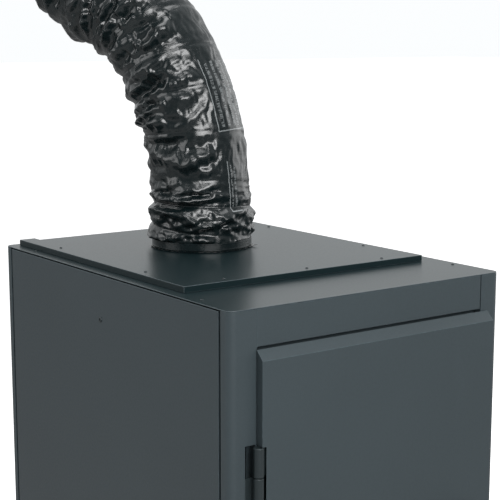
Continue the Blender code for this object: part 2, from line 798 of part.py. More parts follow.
def build_duct(film, steel, parent):
    frames = duct_frames()
    length = frames[-1][1]
    stations = [frame_at(frames, length * i / DUCT_RINGS) for i in range(DUCT_RINGS + 1)]
    outer = [circle(station, DUCT_OUTER, DUCT_SIDES) for station in stations]
    inner = [circle(station, DUCT_INNER, DUCT_SIDES) for station in stations]
    swept("flexible_duct", outer + inner[::-1], film, parent)
    build_wire(frames, steel, parent)
    clamp = [
        (CLAMP_INNER, 0),
        (CLAMP_INNER + CLAMP_THICKNESS, 0),
        (CLAMP_INNER + CLAMP_THICKNESS, CLAMP_WIDTH),
        (CLAMP_INNER, CLAMP_WIDTH),
    ]
    lower = frame_at(frames, CLAMP_INSET)
    upper = frame_at(frames, length - CLAMP_INSET - CLAMP_WIDTH)
    turned("duct_clamp_lower", clamp, RING_STEPS, lower, steel, parent)
    turned("duct_clamp_upper", clamp, RING_STEPS, upper, steel, parent)

    outlet = [
        (SPIGOT_INNER, -OUTLET_INSERT),
        (SPIGOT_OUTER, -OUTLET_INSERT),
        (SPIGOT_OUTER, OUTLET_REACH),
        (SPIGOT_FLANGE, OUTLET_REACH),
        (SPIGOT_FLANGE, OUTLET_REACH + OUTLET_FLANGE),
        (SPIGOT_INNER, OUTLET_REACH + OUTLET_FLANGE),
    ]
    turned("duct_outlet_flange", outlet, RING_STEPS, frame_at(frames, length), steel, parent)


def build_wire(frames, steel, parent):
    """The spring-wire helix that holds the duct's film open. It turns clockwise as it rises."""
    spans = list(zip(WIRE_STATIONS, WIRE_STATIONS[1:]))
    wire = []
    for i in range(len(spans) * WIRE_STEPS_PER_TURN + 1):
        turns = i / WIRE_STEPS_PER_TURN
        low, high = spans[min(int(turns), len(spans) - 1)]
        frame = frame_at(frames, low + (high - low) * (turns - spans.index((low, high))))
        turn = WIRE_START - 2 * math.pi * turns
        around = Vector((math.cos(turn), math.sin(turn), 0))
        centre = frame @ (around * WIRE_HELIX_RADIUS)
        out = (frame.to_3x3() @ around).normalized()
        up = frame.col[2].to_3d()
        ring = []
        for k in range(WIRE_SIDES):
            a = 2 * math.pi * k / WIRE_SIDES
            ring.append(centre + (out * math.cos(a) + up * math.sin(a)) * WIRE_RADIUS)
        wire.append(ring)
    bm = bmesh.new()
    columns = [[bm.verts.new(p) for p in ring] for ring in wire]
    for here, there in zip(columns, columns[1:]):
        for k in range(WIRE_SIDES):
            j = (k + 1) % WIRE_SIDES
            bm.faces.new((here[k], here[j], there[j], there[k]))
    bm.faces.new(columns[0])
    bm.faces.new(columns[-1])
    smooth(new_object("duct_wire_helix", bm, steel, parent), 80)


def build():
    for obj in list(bpy.data.objects):
        bpy.data.objects.remove(obj)

    coat = material("graphite_powder_coat", (0.066, 0.078, 0.085), 0.42, 0.0)
    roof_coat = material("roof_powder_coat", (0.085, 0.088, 0.090), 0.38, 0.0)
    black = material("black_hardware", (0.018, 0.020, 0.022), 0.35, 0.0)
    steel = material("galvanised_steel", (0.55, 0.56, 0.57), 0.35, 1.0)
    film = material("black_duct_film", (0.010, 0.011, 0.012), 0.18, 0.0)
    foam = material("black_foam", (0.020, 0.020, 0.021), 0.90, 0.0)
    rubber = material("black_rubber", (0.025, 0.025, 0.026), 0.75, 0.0)

    origin = pivot("cabinet_origin", (0, 0, 0))
    origin.location = (-WIDTH / 2, -ORIGIN_Y, 0)
    door_axis = pivot("door_axis", (*HINGE_AXIS, LATCH_Z), origin)
    latch_axis = pivot("latch_axis", (LATCH_X, DOOR_FRONT, LATCH_Z), door_axis)
    key_axis = pivot("key_axis", (LATCH_X, HANDLE_Y[0], LATCH_Z), latch_axis)

    build_base(coat, origin)
    build_feet(rubber, origin)
    build_posts(coat, origin)
    build_rails(coat, origin)
    build_roof(roof_coat, origin)
    build_side_panels(coat, black, origin)
    build_back(coat, black, foam, rubber, origin)
    build_exhaust_plate(roof_coat, black, origin)
    build_shelf(coat, origin)
    build_seal_frame(coat, origin)
    build_door(coat, foam, door_axis)
    build_hinges(black, steel, origin, door_axis)
    build_latch(black, steel, door_axis, latch_axis, key_axis)
    build_spigot(steel, origin)
    build_duct(film, steel, origin)


build()
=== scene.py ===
"""Looks of the printer enclosure cabinet and its exhaust duct.

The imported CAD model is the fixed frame. Its sheet-metal nodes keep their shape and get rounded
folds and a powder coat. The duct's film, its wire and clamps, the collars, the screws, the feet,
the gasket, the filter and the cable gland are built here in detail, in place of their plain CAD
nodes.
"""

import json
import math

import bmesh
import bpy
import numpy as np
from mathutils import Matrix, Vector


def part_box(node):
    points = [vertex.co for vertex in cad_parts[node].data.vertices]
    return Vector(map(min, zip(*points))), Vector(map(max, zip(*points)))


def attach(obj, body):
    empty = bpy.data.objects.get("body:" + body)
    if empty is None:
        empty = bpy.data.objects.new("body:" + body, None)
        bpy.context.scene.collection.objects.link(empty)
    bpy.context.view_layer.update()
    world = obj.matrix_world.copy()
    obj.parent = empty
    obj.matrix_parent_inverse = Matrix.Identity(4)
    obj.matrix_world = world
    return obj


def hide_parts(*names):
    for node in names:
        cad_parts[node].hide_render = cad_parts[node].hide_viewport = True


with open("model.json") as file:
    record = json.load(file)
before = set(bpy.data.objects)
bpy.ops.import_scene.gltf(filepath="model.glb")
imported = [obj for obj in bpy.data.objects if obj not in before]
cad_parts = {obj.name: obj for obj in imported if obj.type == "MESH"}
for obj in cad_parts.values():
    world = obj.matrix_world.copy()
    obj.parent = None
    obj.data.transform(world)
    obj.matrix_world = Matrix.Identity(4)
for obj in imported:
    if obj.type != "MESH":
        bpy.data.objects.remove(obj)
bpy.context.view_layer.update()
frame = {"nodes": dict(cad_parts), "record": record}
NODES = frame["nodes"]
SCENE = bpy.context.scene

# The camera: where it stands, how far it turns from +Y and tips down, in degrees, and its lens.
CAMERA_PLACE = (-1.4202, -2.0325, 1.4240)
CAMERA_AZIMUTH = 35.74
CAMERA_DROP = 9.43
CAMERA_LENS = 93.2

# The duct's route, as the CAD part has it: (length of the stretch, turn over it in degrees).
BEND_HEADING = math.radians(120)
DUCT_STRETCHES = ((0.060, 0), (0.140, 9), (0.230, 28), (0.120, 30), (0.115, -22), (0.055, 0))
DUCT_LENGTH = sum(length for length, _ in DUCT_STRETCHES)

# The spring wire: where along the duct it starts, where its turns cross WIRE_START, an angle round
# the duct, and where it ends.
WIRE_STATIONS = (
    0.004, 0.020, 0.078, 0.116, 0.204, 0.282, 0.355, 0.428, 0.501, 0.574, 0.640, 0.700, 0.716
)
WIRE_START = math.radians(294)
WIRE_RADIUS = 0.0009
WIRE_STEPS = 40

# The film: its grid, how far it is from the duct's middle where it is held, how much of each end
# is clamped, and how far it keeps off the wire.
FILM_COLUMNS = 144
FILM_ROWS = 170
FILM_AT_WIRE = 0.0945
FILM_AT_CLAMP = 0.0970
CLAMPED = 0.019
WIRE_GAP = 0.0006
SEED = 7


# Small helpers


def middle(node):
    low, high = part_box(node)
    return (low + high) / 2


def new_piece(name, bm, slot, *replaced, body="cabinet", finish=None, smooth_angle=35):
    """A finished mesh piece that rides on a body and stands for CAD nodes. Its finish is its
    slot's own, where no other is given."""
    mesh = bpy.data.meshes.new(name)
    bmesh.ops.recalc_face_normals(bm, faces=bm.faces)
    bm.to_mesh(mesh)
    bm.free()
    return place_mesh(name, mesh, slot, *replaced, body=body, finish=finish, smooth_angle=smooth_angle)


def place_mesh(name, mesh, slot, *replaced, body="cabinet", finish=None, smooth_angle=35):
    mesh.materials.clear()
    mesh.materials.append(finish or MATERIALS[slot])
    mesh.shade_smooth()
    mesh.set_sharp_from_angle(angle=math.radians(smooth_angle))
    obj = bpy.data.objects.new(name, mesh)
    SCENE.collection.objects.link(obj)
    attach(obj, body)
    if replaced:
        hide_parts(*replaced)
    return obj


def facing(point, direction, spin=0.0):
    """A place matrix whose Z axis points along a direction."""
    turn = Vector(direction).to_track_quat("Z", "Y").to_matrix().to_4x4()
    return Matrix.Translation(point) @ turn @ Matrix.Rotation(spin, 4, "Z")


def bridge(bm, rings):
    """Faces between each ring of points and the next."""
    for here, there in zip(rings, rings[1:]):
        for i in range(len(here)):
            j = (i + 1) % len(here)
            bm.faces.new((here[i], here[j], there[j], there[i]))


def lathe(bm, profile, steps, place):
    """Turns an open profile of (radius, height) that starts and ends on the axis, or a closed
    one that doesn't touch it."""
    columns = []
    for radius, height in profile:
        if radius == 0:
            columns.append([bm.verts.new(place @ Vector((0, 0, height)))] * steps)
            continue
        turns = (2 * math.pi * i / steps for i in range(steps))
        columns.append([
            bm.verts.new(place @ Vector((radius * math.cos(a), radius * math.sin(a), height)))
            for a in turns
        ])
    closed = profile[0][0] > 0
    following = columns[1:] + columns[:1] if closed else columns[1:]
    for here, there in zip(columns, following):
        for i in range(steps):
            j = (i + 1) % steps
            corners = list(dict.fromkeys((here[i], here[j], there[j], there[i])))
            if len(corners) > 2:
                bm.faces.new(corners)


def sides_radius(radius, turn, sides):
    """The distance to a polygon's flank at an angle, where radius reaches its corners."""
    part = 2 * math.pi / sides
    return radius * math.cos(part / 2) / math.cos(turn % part - part / 2)


def recessed_head(bm, radius, height, place, socket, sides):
    """A domed screw head with a recess of that many sides."""
    steps = 48
    outlines = [
        (radius, 0, 0),
        (radius, height * 0.25, 0),
        (radius * 0.94, height * 0.62, 0),
        (radius * 0.80, height * 0.90, 0),
        (radius * 0.62, height, 0),
        (socket, height, sides),
        (socket * 0.96, height * 0.3, sides),
    ]
    rings = []
    for reach, z, corners in outlines:
        ring = []
        for i in range(steps):
            turn = 2 * math.pi * i / steps
            r = sides_radius(reach, turn, corners) if corners else reach
            ring.append(bm.verts.new(place @ Vector((r * math.cos(turn), r * math.sin(turn), z))))
        rings.append(ring)
    bridge(bm, rings)
    bm.faces.new(rings[0])
    bm.faces.new(rings[-1])


def tube(bm, points, radius, sides):
    """A round bar along points, with flat ends."""
    points = [Vector(p) for p in points]
    normal = (points[1] - points[0]).orthogonal().normalized()
    rings = []
    for i, point in enumerate(points):
        ahead = (points[min(i + 1, len(points) - 1)] - points[max(i - 1, 0)]).normalized()
        normal = (normal - ahead * normal.dot(ahead)).normalized()
        other = ahead.cross(normal)
        rings.append([
            bm.verts.new(point + (normal * math.cos(a) + other * math.sin(a)) * radius)
            for a in (2 * math.pi * k / sides for k in range(sides))
        ])
    bridge(bm, rings)
    bm.faces.new(rings[0])
    bm.faces.new(rings[-1])


def rounded_box(bm, size, place, radius):
    made = bmesh.ops.create_cube(bm, size=1, matrix=place @ Matrix.Diagonal((*size, 1)))
    edges = list({edge for vert in made["verts"] for edge in vert.link_edges})
    bmesh.ops.bevel(bm, geom=edges, offset=radius, segments=3, profile=0.5, affect="EDGES")


# Materials


class Finish:
    """A procedural material: its Principled shader, and short ways to add nodes to it."""

    def __init__(self, name):
        self.material = bpy.data.materials.new(name)
        self.material.use_nodes = True
        self.tree = self.material.node_tree
        self.shader = self.tree.nodes["Principled BSDF"]
        self.place = self.tree.nodes.new("ShaderNodeTexCoord").outputs["Object"]

    def feed(self, socket, value):
        if isinstance(value, bpy.types.NodeSocket):
            self.tree.links.new(value, socket)
        else:
            socket.default_value = value

    def set(self, **values):
        for name, value in values.items():
            self.feed(self.shader.inputs[name.replace("_", " ")], value)
        return self

    def noise(self, scale, detail=3.0, vector=None, stretch=None, roughness=0.55):
        vector = vector or self.place
        if stretch:
            mapping = self.tree.nodes.new("ShaderNodeMapping")
            mapping.inputs["Scale"].default_value = stretch
            self.feed(mapping.inputs["Vector"], vector)
            vector = mapping.outputs["Vector"]
        made = self.tree.nodes.new("ShaderNodeTexNoise")
        self.feed(made.inputs["Vector"], vector)
        self.feed(made.inputs["Scale"], scale)
        self.feed(made.inputs["Detail"], detail)
        self.feed(made.inputs["Roughness"], roughness)
        return made.outputs["Fac"]

    def spread(self, value, low, high, start=0.3, end=0.7):
        """Maps a value between start and end to between low and high."""
        made = self.tree.nodes.new("ShaderNodeMapRange")
        for name, number in (
            ("Value", value), ("From Min", start), ("From Max", end), ("To Min", low), ("To Max", high)
        ):
            self.feed(made.inputs[name], number)
        return made.outputs["Result"]

    def math(self, operation, *values):
        made = self.tree.nodes.new("ShaderNodeMath")
        made.operation = operation
        for socket, value in zip(made.inputs, values):
            self.feed(socket, value)
        return made.outputs["Value"]

    def blend(self, share, first, second):
        made = self.tree.nodes.new("ShaderNodeMix")
        made.data_type = "RGBA"
        self.feed(made.inputs["Factor"], share)
        self.feed(made.inputs["A"], (*first, 1) if isinstance(first, tuple) else first)
        self.feed(made.inputs["B"], (*second, 1) if isinstance(second, tuple) else second)
        return made.outputs["Result"]

    def bump(self, height, depth, strength=1.0, below=None):
        made = self.tree.nodes.new("ShaderNodeBump")
        self.feed(made.inputs["Height"], height)
        made.inputs["Distance"].default_value = depth
        made.inputs["Strength"].default_value = strength
        if below:
            self.feed(made.inputs["Normal"], below)
        return made.outputs["Normal"]


def shade(color, factor):
    return tuple(channel * factor for channel in color)


def powder_coat(name, color, rough, worn=0.0, texture=1.0):
    """Fine-textured satin powder coat, a little uneven in tone, with a few faint rub marks."""
    finish = Finish(name)
    drift = finish.noise(2.2, 2)
    mottle = finish.noise(190, 4)
    tone = finish.blend(finish.spread(drift, 0, 1), shade(color, 0.93), shade(color, 1.07))
    tone = finish.blend(finish.spread(mottle, 0, 0.14 + 0.3 * texture), tone, shade(color, 1.22))
    rubs = finish.noise(9, 5, stretch=(1, 1, 0.22), roughness=0.7)
    rubbed = finish.spread(rubs, 0, 0.30, 0.63, 0.74)
    tone = finish.blend(rubbed, tone, shade(color, 1.35))
    if worn:
        bare = finish.spread(finish.noise(55, 6, roughness=0.7), 0, worn, 0.50, 0.66)
        tone = finish.blend(bare, tone, shade(color, 2.4))
    grain = finish.noise(1400, 2)
    peel = finish.noise(260, 2)
    lumps = finish.bump(peel, 0.00006, 0.5 * texture)
    finish.set(
        Base_Color=tone,
        Roughness=finish.spread(finish.noise(240, 3), rough - 0.05 * texture, rough + 0.05 * texture),
        Specular_IOR_Level=0.5,
        Specular_Tint=(0.92, 0.98, 1.0, 1),
        Normal=finish.bump(grain, 0.00005, 0.55 * texture, lumps),
    )
    return finish.material


def plated_steel(name, color, rough):
    """Zinc plating over drawn steel: fine brush lines and a slightly cloudy passivation."""
    finish = Finish(name)
    lines = finish.noise(420, 2, stretch=(1, 1, 12))
    cloud = finish.noise(30, 4)
    finish.set(
        Base_Color=finish.blend(finish.spread(cloud, 0, 1), shade(color, 0.8), color),
        Metallic=1.0,
        Roughness=finish.spread(lines, rough - 0.08, rough + 0.10),
        Normal=finish.bump(lines, 0.00003, 0.4),
    )
    return finish.material


def moulded(name, color, rough, grain=900, depth=0.00008):
    """Moulded rubber or plastic with a matt, finely grained skin and a little dust."""
    finish = Finish(name)
    dust = finish.spread(finish.noise(24, 5), 0, 0.35, 0.45, 0.75)
    finish.set(
        Base_Color=finish.blend(dust, color, shade(color, 1.8)),
        Roughness=finish.spread(finish.noise(60, 3), rough - 0.07, rough + 0.07),
        Normal=finish.bump(finish.noise(grain, 2), depth, 0.5),
    )
    return finish.material


def foam(name, color):
    """Closed-cell foam: a matt skin of small round cells."""
    finish = Finish(name)
    cells = finish.tree.nodes.new("ShaderNodeTexVoronoi")
    cells.inputs["Scale"].default_value = 700
    finish.feed(cells.inputs["Vector"], finish.place)
    tone = finish.spread(cells.outputs["Distance"], 0, 1, 0.2, 0.8)
    finish.set(
        Base_Color=finish.blend(tone, shade(color, 1.5), shade(color, 0.6)),
        Roughness=0.92,
        Normal=finish.bump(cells.outputs["Distance"], 0.0003, 0.6),
    )
    return finish.material


def fibre_mat(name, color):
    """Pressed filter fibres that lie every way."""
    finish = Finish(name)
    one = finish.noise(500, 4, stretch=(6, 1, 1))
    two = finish.noise(500, 4, stretch=(1, 1, 6))
    fibres = finish.math("MAXIMUM", one, two)
    finish.set(
        Base_Color=finish.blend(finish.spread(fibres, 0, 1), shade(color, 0.5), shade(color, 1.9)),
        Roughness=0.95,
        Normal=finish.bump(fibres, 0.0006, 0.8),
    )
    return finish.material


# The plain data panels on the film: where they lie, as shares of the way around and along the
# duct, and how many columns of dashes they have. PANEL_LINE is their line's width, as a share.
LABEL_PANEL = ((0.656, 0.895), (0.299, 0.470), 9)
SMALL_PANEL = ((0.670, 0.716), (0.105, 0.228), 3)
PANEL_LINE = 0.0024


def duct_film(name, color):
    """Glossy black film: fine creases between its folds, and plain printed data panels made of
    a thin line and unlettered dashes."""
    finish = Finish(name)
    layer = finish.tree.nodes.new("ShaderNodeUVMap")
    layer.uv_map = "film"
    place = layer.outputs["UV"]
    split = finish.tree.nodes.new("ShaderNodeSeparateXYZ")
    finish.feed(split.inputs["Vector"], place)
    around, along = split.outputs["X"], split.outputs["Y"]
    streaks = finish.noise(1.0, 3, place, (26, 170, 1), 0.5)
    crackle = finish.noise(1.0, 3, place, (90, 160, 1), 0.5)
    soft = finish.bump(crackle, 0.0004, 0.15)

    def both(first, second):
        return finish.math("MULTIPLY", first, second)

    def between(value, low, high):
        return both(finish.math("GREATER_THAN", value, low), finish.math("LESS_THAN", value, high))

    def panel(u, v, columns):
        """A thin line on two sides, and columns of short dashes that run along the duct."""
        inside = both(between(around, *u), between(along, *v))
        core = both(
            between(around, u[0] + PANEL_LINE * 1.2, u[1]),
            between(along, v[0] + PANEL_LINE, v[1]),
        )
        line = finish.math("SUBTRACT", inside, core)
        inset = 4 * PANEL_LINE
        body = both(
            between(around, u[0] + inset, u[1] - inset),
            between(along, v[0] + inset, v[1] - inset),
        )
        pitch = columns / (u[1] - u[0])
        lane = finish.math("FRACT", both(around, pitch))
        dash = finish.noise(1.0, 1, place, (pitch, 420, 1))
        marks = both(both(body, between(lane, 0.28, 0.72)), finish.math("GREATER_THAN", dash, 0.47))
        return finish.math("MAXIMUM", both(line, 0.75), both(marks, 0.42))

    printed = finish.math("MAXIMUM", panel(*LABEL_PANEL), panel(*SMALL_PANEL))
    finish.set(
        Base_Color=finish.blend(printed, color, (0.26, 0.28, 0.285)),
        Roughness=finish.spread(crackle, 0.20, 0.30),
        Specular_IOR_Level=0.6,
        Normal=finish.bump(streaks, 0.0012, 0.28, soft),
    )
    return finish.material


COAT_COLOR = (0.034, 0.046, 0.052)
# The roof's coat is the same powder coat made far darker: painted shade that tones down how brightly the
# roof's top is lit.
ROOF_COAT_WITH_PAINTED_SHADE = (0.004, 0.012, 0.014)

# One for each material slot of the CAD part, and two more: the coat on the folds, which is worn and also
# lighter as a painted highlight where the edges catch light, and the clamps' band.
MATERIALS = {
    "graphite_powder_coat": powder_coat("graphite_powder_coat", COAT_COLOR, 0.46),
    "roof_powder_coat": powder_coat("roof_powder_coat", ROOF_COAT_WITH_PAINTED_SHADE, 0.30, texture=0.3),
    "black_hardware": powder_coat("black_hardware", (0.014, 0.020, 0.022), 0.38, texture=0.5),
    "zinc_plated_steel": plated_steel("zinc_plated_steel", (0.52, 0.54, 0.56), 0.30),
    "black_duct_film": duct_film("black_duct_film", (0.0035, 0.0075, 0.0085)),
    "black_foam": foam("black_foam", (0.016, 0.017, 0.018)),
    "filter_mat": fibre_mat("filter_mat", (0.045, 0.046, 0.048)),
    "black_rubber": moulded("black_rubber", (0.018, 0.019, 0.020), 0.72),
}
# The folds' coat: real worn patches, and a tone a quarter lighter than the coat, which is a painted
# highlight.
FOLD_WEAR_AND_HIGHLIGHT = powder_coat("fold_wear_and_painted_highlight", shade(COAT_COLOR, 1.25), 0.40, 0.35)
CLAMP_FINISH = moulded("clamp_band", (0.004, 0.008, 0.009), 0.24, 45, 0.0016)


# The CAD nodes that stay


# The radii of their edges: of sheet metal, of the other pieces, and of the nodes that differ.
SHEET_FOLD = 0.0007
HARDWARE_FOLD = 0.0005
FOLD_RADII = {
    "side_panel_left": 0.0018,
    "side_panel_right": 0.0018,
    "latch_handle": 0.0032,
    "latch_cam": 0.0006,
    "latch_escutcheon": 0.0006,
}


def dress_nodes():
    """Gives each CAD node its material, and its sharp edges a fold's radius."""
    slots = {part["node"]: part["material_slot"] for part in frame["record"]["subparts"]}
    for name, obj in NODES.items():
        coat = MATERIALS[slots[name]]
        obj.data.materials.clear()
        obj.data.materials.append(coat)
        powdered = slots[name].endswith("powder_coat")
        if powdered:
            obj.data.materials.append(FOLD_WEAR_AND_HIGHLIGHT)
        weld = obj.modifiers.new("weld", "WELD")
        weld.merge_threshold = 0.00002
        flats = obj.modifiers.new("flats", "DECIMATE")
        flats.decimate_type = "DISSOLVE"
        flats.angle_limit = math.radians(0.5)
        fold = obj.modifiers.new("fold", "BEVEL")
        fold.width = FOLD_RADII.get(name, SHEET_FOLD if powdered else HARDWARE_FOLD)
        fold.segments = 3
        fold.limit_method = "ANGLE"
        fold.angle_limit = math.radians(40)
        # Powder-coated folds get the lighter fold coat, a painted highlight along the edges.
        fold.material = 1 if powdered else -1
        fold.harden_normals = False
        obj.data.shade_smooth()
        smooth = obj.modifiers.new("normals", "WEIGHTED_NORMAL")
        smooth.keep_sharp = True
        smooth.weight = 80


# The duct's route


class Duct:
    """The centreline, sampled finely, with points and places along it."""

    def __init__(self, base, step=0.001):
        self.heading = np.array((math.cos(BEND_HEADING), math.sin(BEND_HEADING), 0.0))
        self.up = np.array((0.0, 0.0, 1.0))
        self.across = np.cross(self.heading, self.up)
        stations, points, tilts = [0.0], [np.array(base)], [0.0]
        for length, turn in DUCT_STRETCHES:
            count = round(length / step)
            for _ in range(count):
                tilt = tilts[-1] + math.radians(turn) / count / 2
                ahead = self.heading * math.sin(tilt) + self.up * math.cos(tilt)
                points.append(points[-1] + ahead * length / count)
                stations.append(stations[-1] + length / count)
                tilts.append(tilts[-1] + math.radians(turn) / count)
        self.stations, self.middles, self.tilts = np.array(stations), np.array(points), np.array(tilts)

    def points(self, station, turn, radius):
        """Points at distances along the duct, angles round it and radii from its middle."""
        middle_point = np.stack(
            [np.interp(station, self.stations, self.middles[:, k]) for k in range(3)], -1
        )
        tilt = np.interp(station, self.stations, self.tilts)
        ahead = np.sin(tilt)[..., None] * self.heading + np.cos(tilt)[..., None] * self.up
        side = np.cross(ahead, self.across)
        outward = self.across * np.cos(turn)[..., None] + side * np.sin(turn)[..., None]
        return middle_point + outward * radius[..., None]

    def place(self, station):
        """A place matrix: X across the bend, Z along the duct."""
        tilt = float(np.interp(station, self.stations, self.tilts))
        ahead = self.heading * math.sin(tilt) + self.up * math.cos(tilt)
        point = [float(np.interp(station, self.stations, self.middles[:, k])) for k in range(3)]
        made = Matrix.Identity(4)
        for column, axis in enumerate((self.across, np.cross(ahead, self.across), ahead, point)):
            for row in range(3):
                made[row][column] = axis[row]
        return made


spigot_middle = middle("exhaust_spigot")
duct = Duct((spigot_middle.x, spigot_middle.y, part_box("flexible_duct")[0].z))

# The wire's turns, counted where it crosses WIRE_START, run past both ends of the film.
TURN_STATIONS = (-0.012, *WIRE_STATIONS[1:-1], 0.745)


def turns_at(station):
    return np.interp(station, TURN_STATIONS, np.arange(len(TURN_STATIONS)) - 1.0)


def station_of(turns):
    return np.interp(turns, np.arange(len(TURN_STATIONS)) - 1.0, TURN_STATIONS)


# The film


# It is slack towards LOOSE_SIDE and over the spigot, and elsewhere it has TAUT_SHARE of the folds.
LOOSE_SIDE = math.radians(132)
TAUT_SHARE = 0.10

# How far its folds reach, and how far it bulges: on the inside of the bend, over the spigot, on
# the outside of the bend, and right beside the wire.
LONG_FOLD = 0.0115
CRUMPLE = 0.0040
INNER_BULGE = 0.0075
BASE_BULGE = 0.0050
OUTER_BULGE = 0.0036
WIRE_BULGE = 0.0024

# The share of INNER_BULGE at distances along the duct.
SWELLS = ((0, 0.9), (0.08, 0.9), (0.12, 0.35), (0.19, 0.35), (0.23, 1.2), (0.30, 1.0))

# How much further its bulges and folds reach in its cut than in the room it has, and how many
# frames it gets to settle.
FILM_SPARE = 1.1
FILM_FRAMES = 10


def smooth_noise(rng, shape, cells, stretch):
    """Noise whose lumps are a few grid cells across, and longer along the rows' length."""
    rows = np.fft.fftfreq(shape[0])[:, None] * cells
    columns = np.fft.fftfreq(shape[1])[None, :] * cells * stretch
    noise = np.fft.ifft2(np.fft.fft2(rng.normal(size=shape)) * np.exp(-4 * (rows**2 + columns**2))).real
    return noise / noise.std()


def sheared(noise, slope):
    """The same noise with its columns shifted, so that its lumps run askew round the duct."""
    count = noise.shape[1]
    shifts = [round(slope * min(i, count - i)) for i in range(count)]
    return np.stack([np.roll(noise[:, i], shift) for i, shift in enumerate(shifts)], 1)


def sharp_folds(rng, shape, cells, stretch, slope):
    """Folds with sharp ridges and sharp valleys, which run askew both ways round the duct."""
    ridges = np.abs(sheared(smooth_noise(rng, shape, cells, stretch), slope))
    valleys = np.abs(sheared(smooth_noise(rng, shape, cells, stretch), -slope))
    return valleys - ridges


def smooth_step(value, start, end):
    share = np.clip((value - start) / (end - start), 0, 1)
    return share * share * (3 - 2 * share)


def film_grid():
    """Stations and angles of the film's grid, and which points the wire holds. Each column has a
    row exactly where the wire crosses it."""
    angles = 2 * math.pi * np.arange(FILM_COLUMNS) / FILM_COLUMNS
    rows = np.arange(FILM_ROWS + 1)
    even = station_of(np.linspace(turns_at(0.0), turns_at(DUCT_LENGTH), FILM_ROWS + 1))
    stations = np.zeros((FILM_ROWS + 1, FILM_COLUMNS))
    held = np.zeros(stations.shape, bool)
    free = CLAMPED + 0.005
    for i, angle in enumerate(angles):
        offset = ((WIRE_START - angle) / (2 * math.pi)) % 1.0
        crossings = [
            float(station_of(k + offset))
            for k in range(-1, len(TURN_STATIONS))
            if k + offset < len(TURN_STATIONS) - 2
            and free < station_of(k + offset) < DUCT_LENGTH - free
        ]
        nearest = [int(round(np.interp(s, even, rows))) for s in crossings]
        turns = [float(turns_at(s)) for s in (0.0, *crossings, DUCT_LENGTH)]
        stations[:, i] = station_of(np.interp(rows, [0, *nearest, FILM_ROWS], turns))
        stations[0, i], stations[-1, i] = 0, DUCT_LENGTH
        held[nearest, i] = True
    return stations, np.broadcast_to(angles, stations.shape), held


def film_radii(stations, angles, held, clamped):
    """A function that gives the film's distance from the duct's middle: fixed where it is held or
    clamped, and elsewhere the more bulged and folded, the greater the strength."""
    rng = np.random.default_rng(SEED)
    turns = turns_at(stations)
    share = (turns - (WIRE_START - angles) / (2 * math.pi)) % 1.0
    rise = np.sin(np.pi * share)
    base = 1 - smooth_step(stations, 0.050, 0.115)
    inner = smooth_step(np.sin(angles), -0.3, 0.8)
    loose = smooth_step(np.cos(angles - LOOSE_SIDE), -0.35, 0.55)
    loose = np.maximum(TAUT_SHARE + (1 - TAUT_SHARE) * loose, base)

    long_folds = sharp_folds(rng, stations.shape, 4.4, 5.0, 0.22)
    crumple = sharp_folds(rng, stations.shape, 2.6, 2.4, 0.45)
    folds = LONG_FOLD * long_folds * (1 - 0.6 * base) + CRUMPLE * crumple * (0.05 + 0.95 * base)
    folds *= loose * np.minimum(1, 1.6 * rise)
    folds *= 1 - 0.62 * smooth_step(np.sin(angles), 0.25, 0.85)

    swell = INNER_BULGE * np.interp(stations, *zip(*SWELLS))
    outer = OUTER_BULGE * loose * (1 - inner) * (1 - base)
    fullness = 0.0004 + inner * swell + BASE_BULGE * base + outer
    bulge = WIRE_BULGE * np.minimum(1, 5 * rise) + rise**0.75 * fullness

    def radii(strength):
        radius = FILM_AT_WIRE + strength * (bulge + folds)
        return np.where(clamped, FILM_AT_CLAMP, np.where(held, FILM_AT_WIRE, radius))

    return radii


def film_mesh(points, stations, angles):
    """The grid's points as a tube of quads, whose UVs are shares of the way around and along."""
    index = np.arange(stations.size).reshape(stations.shape)
    beside = np.roll(index, -1, 1)
    quads = np.stack([index[:-1], beside[:-1], beside[1:], index[1:]], -1).reshape(-1, 4)
    mesh = bpy.data.meshes.new("duct_film")
    mesh.from_pydata(points.reshape(-1, 3).tolist(), [], quads.tolist())
    layer = mesh.uv_layers.new(name="film")
    around = angles / (2 * math.pi)
    corner_u = np.stack([around[:-1], around[:-1] + 1 / FILM_COLUMNS] * 2, -1)[..., (0, 1, 3, 2)]
    along = stations / DUCT_LENGTH
    along_beside = np.roll(along, -1, 1)
    corner_v = np.stack([along[:-1], along_beside[:-1], along_beside[1:], along[1:]], -1)
    layer.data.foreach_set("uv", np.stack([corner_u, corner_v], -1).astype(np.float32).ravel())
    return mesh


def settle_film(mesh, cut_points, held):
    """The film after a cloth simulation in which it has the cut points' size, and is held."""
    sim = bpy.data.objects.new("film_sim", mesh)
    SCENE.collection.objects.link(sim)
    sim.shape_key_add(name="Basis")
    cut = sim.shape_key_add(name="cut")
    cut.data.foreach_set("co", cut_points.astype(np.float32).ravel())
    cut.value = 0
    group = sim.vertex_groups.new(name="held")
    group.add(np.flatnonzero(held.ravel()).tolist(), 1.0, "REPLACE")
    cloth = sim.modifiers.new("cloth", "CLOTH")
    settings = cloth.settings
    settings.quality = 6
    settings.mass = 0.002
    settings.tension_stiffness = settings.compression_stiffness = 5.0
    settings.shear_stiffness = 1.0
    settings.bending_model = "ANGULAR"
    settings.bending_stiffness = 0.010
    settings.tension_damping = settings.compression_damping = settings.shear_damping = 0.005
    settings.bending_damping = 0.5
    settings.air_damping = 0.5
    settings.vertex_group_mass = group.name
    settings.pin_stiffness = 1.0
    settings.rest_shape_key = cut
    settings.effector_weights.gravity = 0
    cloth.collision_settings.use_collision = False
    cloth.collision_settings.use_self_collision = False
    cloth.point_cache.frame_start = 1
    cloth.point_cache.frame_end = FILM_FRAMES + 1
    for number in range(1, FILM_FRAMES + 1):
        SCENE.frame_set(number)
    evaluated = sim.evaluated_get(bpy.context.evaluated_depsgraph_get())
    settled = bpy.data.meshes.new_from_object(evaluated)
    SCENE.frame_set(1)
    bpy.data.objects.remove(sim)
    bpy.data.meshes.remove(mesh)
    settled.name = "duct_film"
    return settled


